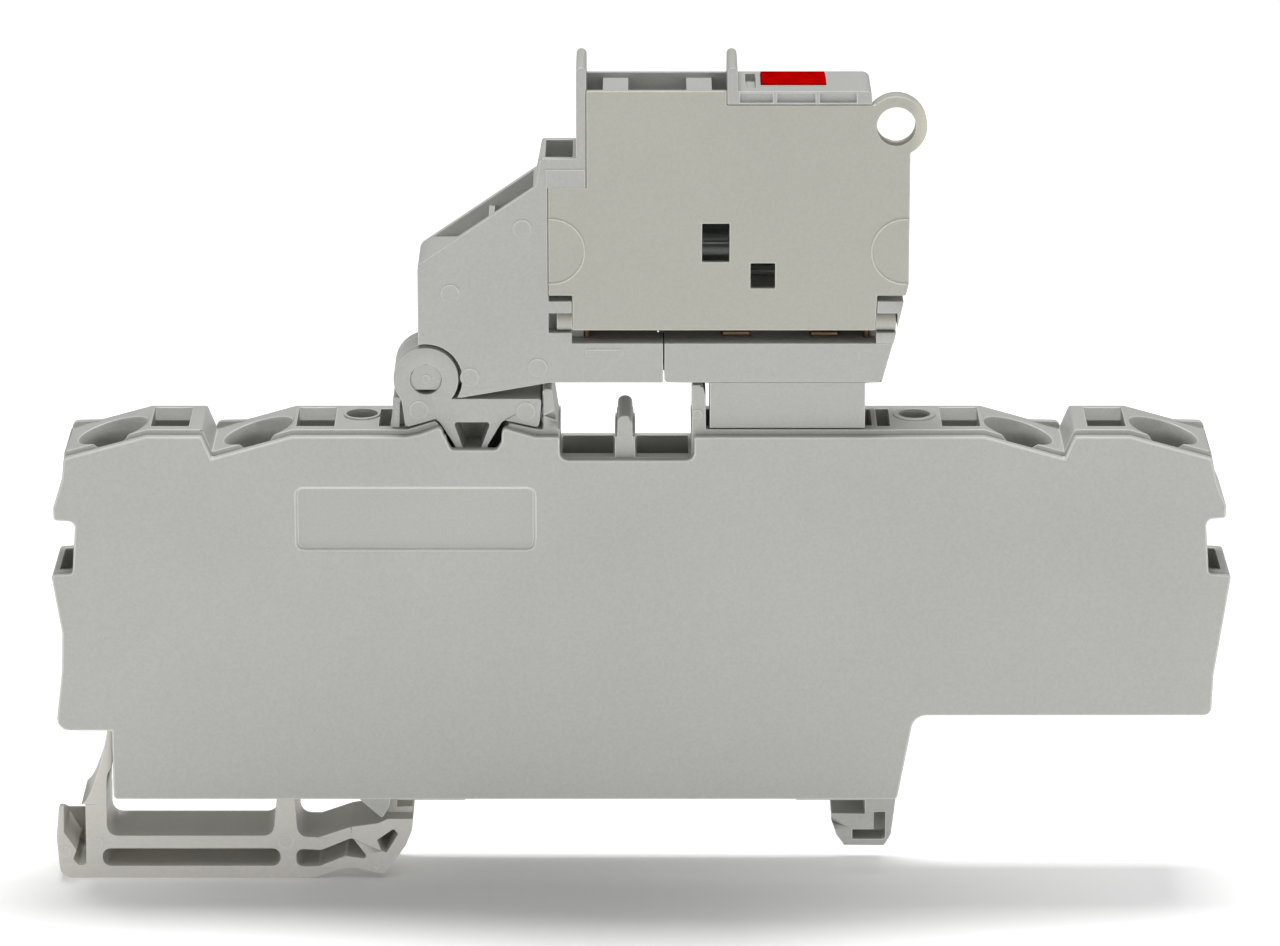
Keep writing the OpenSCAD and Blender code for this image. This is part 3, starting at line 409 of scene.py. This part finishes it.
# %% [markdown]
# Every moulding shows where the tool's ejector pins pushed it out: a shallow disc inside a thin raised ring.
# The rings could be a bump in the plastic, but they catch light as real edges, so each is a thin cylinder
# that is sunk into the face: its front is inset, and the inner part is pushed back until only a ring stands
# up. The same function makes a rectangular mark from a cube, for the tongue and the core marks. Marks of one
# size on one moulding come from one model: the first is shaped, and the others are copies with their own mesh.

# %% Marks of the mould
FACE_Y = -2.7                              # the plane of the mouldings' front faces, in mm
PIN_Y = -2.55                              # the hinge pin's front lies a little deeper
MARK_DEPTH, RING_HEIGHT, RING_WIDTH, NARROW = 0.1, 0.04, 0.14, 0.12
PUSHED_BACK = 0.8 * RING_HEIGHT
ROUND = 48                                 # sides of a small round piece


def fresh(name, *finishes):
    """Names the newest object, bakes its placing into its mesh and gives it its finishes."""
    piece = bpy.context.object
    piece.name = piece.data.name = name
    bpy.ops.object.transform_apply(location=True, rotation=True, scale=True)
    piece.data.materials.clear()
    for finish in finishes:
        piece.data.materials.append(finish)
    return piece


def take_up(piece):
    """Makes a piece the only selected and the active object."""
    bpy.ops.object.select_all(action="DESELECT")
    piece.select_set(True)
    bpy.context.view_layer.objects.active = piece


def copied(piece, name, shift):
    """A copy of a piece with its own mesh, moved by shift (x, y, z) in mm."""
    take_up(piece)
    bpy.ops.object.duplicate()
    copy = bpy.context.object
    copy.name = copy.data.name = name
    copy.location = Vector(shift) * MM
    bpy.ops.object.transform_apply(location=True, rotation=True, scale=True)
    return copy


def select_faces(piece, wanted):
    """Selects only the faces for which wanted(centre in mm, normal) is true, and stays in edit mode."""
    for edge in piece.data.edges:
        edge.select = False
    for vertex in piece.data.vertices:
        vertex.select = False
    for face in piece.data.polygons:
        face.select = wanted(face.center / MM, face.normal)
    bpy.ops.object.mode_set(mode="EDIT")
    bpy.ops.mesh.select_mode(type="FACE")


def mould_mark(name, x, z, size, body, front=FACE_Y, rim=RING_WIDTH):
    """A round mark of one radius, or a rectangular one of (width, height), with a thin raised rim painted paler
    as a highlight.
    """
    bpy.ops.object.select_all(action="DESELECT")
    place = (x * MM, (front - RING_HEIGHT + MARK_DEPTH / 2) * MM, z * MM)
    if isinstance(size, tuple):
        bpy.ops.mesh.primitive_cube_add(size=1, location=place)
        bpy.context.object.scale = (size[0] * MM, MARK_DEPTH * MM, size[1] * MM)
    else:
        bpy.ops.mesh.primitive_cylinder_add(vertices=ROUND, radius=size * MM, depth=MARK_DEPTH * MM,
                                            location=place, rotation=(math.pi / 2, 0, 0))
    # the rim's paler finish is a painted highlight
    finishes = (foot_edge_highlight, foot_plastic) if body == "foot" else (mark_ring_highlight, housing_polyamide)
    piece = fresh(name, *finishes)
    select_faces(piece, lambda centre, normal: normal.y < -0.9)
    bpy.ops.mesh.inset(thickness=rim * MM)
    bpy.ops.transform.translate(value=(0, PUSHED_BACK * MM, 0))
    bpy.ops.object.mode_set(mode="OBJECT")
    for face in piece.data.polygons:
        inner = abs(face.normal.y) > 0.9 and face.center.y / MM > front - 0.5 * RING_HEIGHT
        face.material_index = 1 if inner else 0
    return piece


EJECTORS = [
    ("fuse_holder", 1, 0.72, [(-7.9, 44.45), (-13.2, 39.55), (-11.8, 33.15), (-6.8, 33.9)]),
    ("terminal", 1, 0.72, [(-15.6, 30.65), (-7.7, 30.54)]),
    ("terminal", 3, 0.4, [(4.95, 30.3)]),
    ("foot", 1, 0.62, [(-25.95, -3.3)]),
    ("foot", 2, 0.45, [(-42.62, -4.1)]),
    ("foot", 3, 0.42, [(-40.15, -3.4)]),
    ("foot", 4, 0.3, [(-19.14, -5.25)]),
]                                          # body, number of the first, radius, and places (x, z), in mm
marks = []
for body, start, radius, ((first_x, first_z), *others) in EJECTORS:
    first = mould_mark(f"ejector_mark_{body}_{start}", first_x, first_z, radius, body)
    marks.append((first, body))
    for number, (x, z) in enumerate(others, start + 1):
        marks.append((copied(first, f"ejector_mark_{body}_{number}", (x - first_x, 0, z - first_z)), body))
marks += [
    (mould_mark("pin_centre_mark", -15.05, 33.0, 0.36, "terminal", front=PIN_Y), "terminal"),
    (mould_mark("holder_tongue_mark", -4.72, 48.25, (2.9, 1.4), "fuse_holder", rim=NARROW), "fuse_holder"),
    (mould_mark("holder_core_mark", -1.9, 35.05, (2.8, 0.55), "fuse_holder", rim=NARROW), "fuse_holder"),
]
for mark, body in marks:
    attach(mark, body)
print(len(marks), "mould marks")

# %% [markdown]
# The cover has a half-round line at each end, where a round insert of the mould meets its edge. They are
# rings of wire thickness, sunk to their middle and cut off at the cover's edge by bisect, and painted paler as
# a highlight.

# %% Round insert lines
LINE, LINE_SUNK = 0.09, 0.01               # half the thickness of a raised line, and how deep its middle is
LINE_RADIUS, LINE_HEIGHT = 2.45, 42.75
LEFT_LINE, RIGHT_LINE = -5.8, 20.1         # where the rings' middles are along X
LEFT_CUT, RIGHT_CUT = -5.93, 20.33

bpy.ops.object.select_all(action="DESELECT")
bpy.ops.mesh.primitive_torus_add(
    major_radius=LINE_RADIUS * MM, minor_radius=LINE * MM, major_segments=72, minor_segments=8,
    location=(LEFT_LINE * MM, (FACE_Y + LINE_SUNK) * MM, LINE_HEIGHT * MM), rotation=(math.pi / 2, 0, 0))
# the raised line is painted paler, a painted highlight
left_line = fresh("left_insert_line", cover_edge_highlight)
right_line = copied(left_line, "right_insert_line", (RIGHT_LINE - LEFT_LINE, 0, 0))
for line, cut_x, kept_side in ((left_line, LEFT_CUT, 1), (right_line, RIGHT_CUT, -1)):
    take_up(line)
    bpy.ops.object.mode_set(mode="EDIT")
    bpy.ops.mesh.select_all(action="SELECT")
    bpy.ops.mesh.bisect(plane_co=(cut_x * MM, 0, 0), plane_no=(kept_side, 0, 0), clear_inner=True,
                        use_fill=True)
    bpy.ops.object.mode_set(mode="OBJECT")
    bpy.ops.object.shade_smooth()
    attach(line, "cover")
    print(line.name, len(line.data.polygons), "faces")

# %% [markdown]
# Each test hole on the top has a low collar that guides the probe. It is a ring with a wall, so it starts as
# an open cylinder without end faces: Solidify gives it the wall, inwards up to the hole, and Bevel rounds the
# lip that the probe slides over. The collar's foot is sunk into the housing, so no gap shows. The left one is
# narrower, because the jumper slot begins right beside it.

# %% Collars of the test holes
HOLE_RADIUS, HOLE_Y, HOUSING_TOP = 1.16, 1.0, 29.15     # mm
COLLAR_LENGTH, COLLAR_RISE = 0.26, 0.03                 # mm; its middle is this far above the housing's top
LIP_ANGLE = math.radians(40)
COLLARS = [("left", -19.95, 1.36), ("right", 21.1, 1.58)]     # side, x and outer radius, in mm


def test_collar(name, x, radius):
    """A rounded ring around the test hole at x, half sunk into the housing's top."""
    bpy.ops.object.select_all(action="DESELECT")
    bpy.ops.mesh.primitive_cylinder_add(
        vertices=ROUND, radius=radius * MM, depth=COLLAR_LENGTH * MM, end_fill_type="NOTHING",
        location=(x * MM, HOLE_Y * MM, (HOUSING_TOP + COLLAR_RISE) * MM))
    piece = fresh(name, housing_polyamide, mark_ring_highlight)
    wall = piece.modifiers.new("Wall", "SOLIDIFY")
    wall.thickness, wall.offset = (radius - HOLE_RADIUS) * MM, -1
    lip = piece.modifiers.new("Lip", "BEVEL")
    # the rounded lip takes the paler finish, a painted highlight
    lip.width, lip.segments, lip.material = (radius - HOLE_RADIUS) / 4 * MM, 3, 1
    lip.limit_method, lip.angle_limit = "ANGLE", LIP_ANGLE
    for modifier in (wall.name, lip.name):
        bpy.ops.object.modifier_apply(modifier=modifier)
    bpy.ops.object.shade_smooth_by_angle(angle=SMOOTH_ANGLE)
    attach(piece, "terminal")
    return piece


for side, x, radius in COLLARS:
    collar = test_collar(f"{side}_test_collar", x, radius)
    print(collar.name, len(collar.data.polygons), "faces")

# %% [markdown]
# The foot hangs from the housing by a strap of the same plastic, a living spring that bends as the foot is
# levered outwards. CAD holds it as a short straight prism. Here it is drawn out of the foot's head in steps:
# one face is extruded upwards again and again, moved and narrowed each time, so the strap leaves the head in
# a fillet and ends thin under the housing. Its two ends touch other mouldings, so their faces are taken out
# while the Bevel rounds the long edges, and the holes are filled again after it.

# %% Spring strap of the foot
STRAP = [(-0.36, -41.35, -39.42), (-0.15, -41.08, -39.42), (0.15, -40.86, -39.41), (0.6, -40.62, -39.4),
         (1.1, -40.42, -39.37), (1.6, -40.24, -39.34), (2.1, -40.07, -39.27), (2.4, -39.97, -39.1),
         (2.7, -39.87, -38.95), (3.2, -39.73, -38.9), (4.0, -39.55, -38.88), (4.8, -39.38, -38.87),
         (5.4, -39.25, -38.87), (5.78, -39.15, -38.87)]     # height, left edge and right edge, in mm
STRAP_ROUNDING, STRAP_ANGLE = 0.08, math.radians(50)     # mm and radians
strap_low, strap_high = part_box("foot_strap")
middle_y, depth_y = (strap_low.y + strap_high.y) / 2, strap_high.y - strap_low.y
bpy.ops.object.select_all(action="DESELECT")
height, left, right = STRAP[0]
bpy.ops.mesh.primitive_plane_add(size=1, location=((left + right) / 2 * MM, middle_y, height * MM))
bpy.context.object.scale = ((right - left) * MM, depth_y, 1)
strap = fresh("spring_strap", foot_plastic, foot_edge_highlight)
bpy.ops.object.mode_set(mode="EDIT")
bpy.ops.mesh.select_all(action="SELECT")
for (low_z, low_left, low_right), (high_z, high_left, high_right) in zip(STRAP, STRAP[1:]):
    shift = (high_left + high_right - low_left - low_right) / 2
    bpy.ops.mesh.extrude_region_move(
        TRANSFORM_OT_translate={"value": (shift * MM, 0, (high_z - low_z) * MM)})
    bpy.ops.transform.resize(value=((high_right - high_left) / (low_right - low_left), 1, 1),
                             center_override=((high_left + high_right) / 2 * MM, middle_y, high_z * MM))
bpy.ops.mesh.select_all(action="SELECT")
bpy.ops.mesh.normals_make_consistent(inside=False)
bpy.ops.object.mode_set(mode="OBJECT")
select_faces(strap, lambda centre, normal:
             abs(normal.z) > 0.99 and not STRAP[0][0] < centre.z < STRAP[-1][0])
bpy.ops.mesh.delete(type="ONLY_FACE")
bpy.ops.object.mode_set(mode="OBJECT")
rounding = strap.modifiers.new("Moulded edge", "BEVEL")
# the strap's rounded edges take the paler finish, a painted highlight
rounding.width, rounding.segments, rounding.material = STRAP_ROUNDING * MM, 2, 1
rounding.limit_method, rounding.angle_limit = "ANGLE", STRAP_ANGLE
bpy.ops.object.modifier_apply(modifier=rounding.name)
bpy.ops.object.mode_set(mode="EDIT")
bpy.ops.mesh.select_all(action="SELECT")
bpy.ops.mesh.fill_holes(sides=0)
bpy.ops.object.mode_set(mode="OBJECT")
bpy.ops.object.shade_smooth_by_angle(angle=SMOOTH_ANGLE)
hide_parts("foot_strap")
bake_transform(strap)
print("strap:", len(strap.data.polygons), "faces")

# %% [markdown]
# The object stands on a white table. Two large soft boxes near the camera light its flat face evenly. One above
# and behind it lights the tops and throws a soft shadow forwards, and a weak one above the front fills the
# darkest corners. The table is an acrylic sheet that glows as if lit from below, as catalogue pictures use, so
# it stays white. Its glow is left out in an oval under the object, a painted shadow: the emission rises with
# the distance from the middle.

# %% Table and light
TABLE_SIZE, TABLE_GAP = 6, 0.02 * MM       # m; the gap keeps the foot's underside off the sheet
HAZE = 40 * MM
# the unlit oval is a painted shadow under the object
SHADOW_SHIFT, SHADOW_SHAPE = (0.003, 0.007, 0), (0.3, 1, 0)     # moves and squeezes the unlit oval
GLOW_STARTS, GLOW_FULL, GLOW = 0.002, 0.018, 0.42               # m, m, and the full emission strength
SKY = 0.22                                 # strength of the pale light from all round
LAMPS = [
    ("left_front_soft_box", (-0.4, -0.75, 0.1), (0, 0, 0.02), (0.4, 0.25), 1.0),
    ("right_front_soft_box", (0.35, -0.8, 0.1), (0, 0, 0.02), (0.4, 0.25), 1.1),
    ("top_rear_soft_box", (0, 0.16, 0.72), (0, 0, 0), (0.4, 0.14), 3.9),
    ("top_front_soft_box", (0.05, -0.25, 0.75), (0, 0, 0), (0.5, 0.3), 0.6),
]                                          # name, place, aim, size (all in m) and watts

bpy.ops.object.select_all(action="DESELECT")
bpy.ops.mesh.primitive_plane_add(size=TABLE_SIZE, location=(0, 0, cad_box[0].z - TABLE_GAP))
table_top = bpy.context.object
table_top.name = "light_table"
opal, place = new_material("opal_acrylic_table")
haze = add_node(opal, "ShaderNodeTexNoise", {"Scale": 1 / HAZE}, {"Vector": place})
tone = add_ramp(opal, haze.outputs["Fac"], [(0, "#F4F4F3"), (1, "#F7F7F6")])
squeezed = add_node(opal, "ShaderNodeMapping", {"Location": SHADOW_SHIFT, "Scale": SHADOW_SHAPE},
                    {"Vector": place})
far = add_node(opal, "ShaderNodeVectorMath", {"operation": "LENGTH"}, {"Vector": squeezed.outputs["Vector"]})
# the emission is dark in the oval of painted shadow and full further out
lit = add_node(opal, "ShaderNodeMapRange",
               {"interpolation_type": "SMOOTHSTEP", "From Min": GLOW_STARTS, "From Max": GLOW_FULL,
                "To Min": 0.0, "To Max": GLOW},
               {"Value": far.outputs["Value"]})
finish_with(opal, {"Roughness": 0.6, "Emission Color": linear("#FFFFFF")},
            {"Base Color": tone, "Emission Strength": lit.outputs["Result"]})
table_top.data.materials.append(opal)

world = bpy.context.scene.world or bpy.data.worlds.new("pale_studio")
bpy.context.scene.world = world
world.use_nodes = True
sky = world.node_tree.nodes["Background"].inputs
sky["Color"].default_value, sky["Strength"].default_value = linear("#F3F5F7"), SKY

for name, stand, aim, size, watts in LAMPS:
    bpy.ops.object.light_add(type="AREA", location=stand)
    lamp = bpy.context.object
    lamp.name = name
    lamp.data.shape, lamp.data.energy = "RECTANGLE", watts
    lamp.data.size, lamp.data.size_y = size
    lamp.rotation_euler = (Vector(aim) - Vector(stand)).to_track_quat("-Z", "Y").to_euler()
bpy.context.scene.view_settings.view_transform = "Standard"
print("table at", round(table_top.location.z / MM, 2), "mm,", len(LAMPS), "soft boxes")
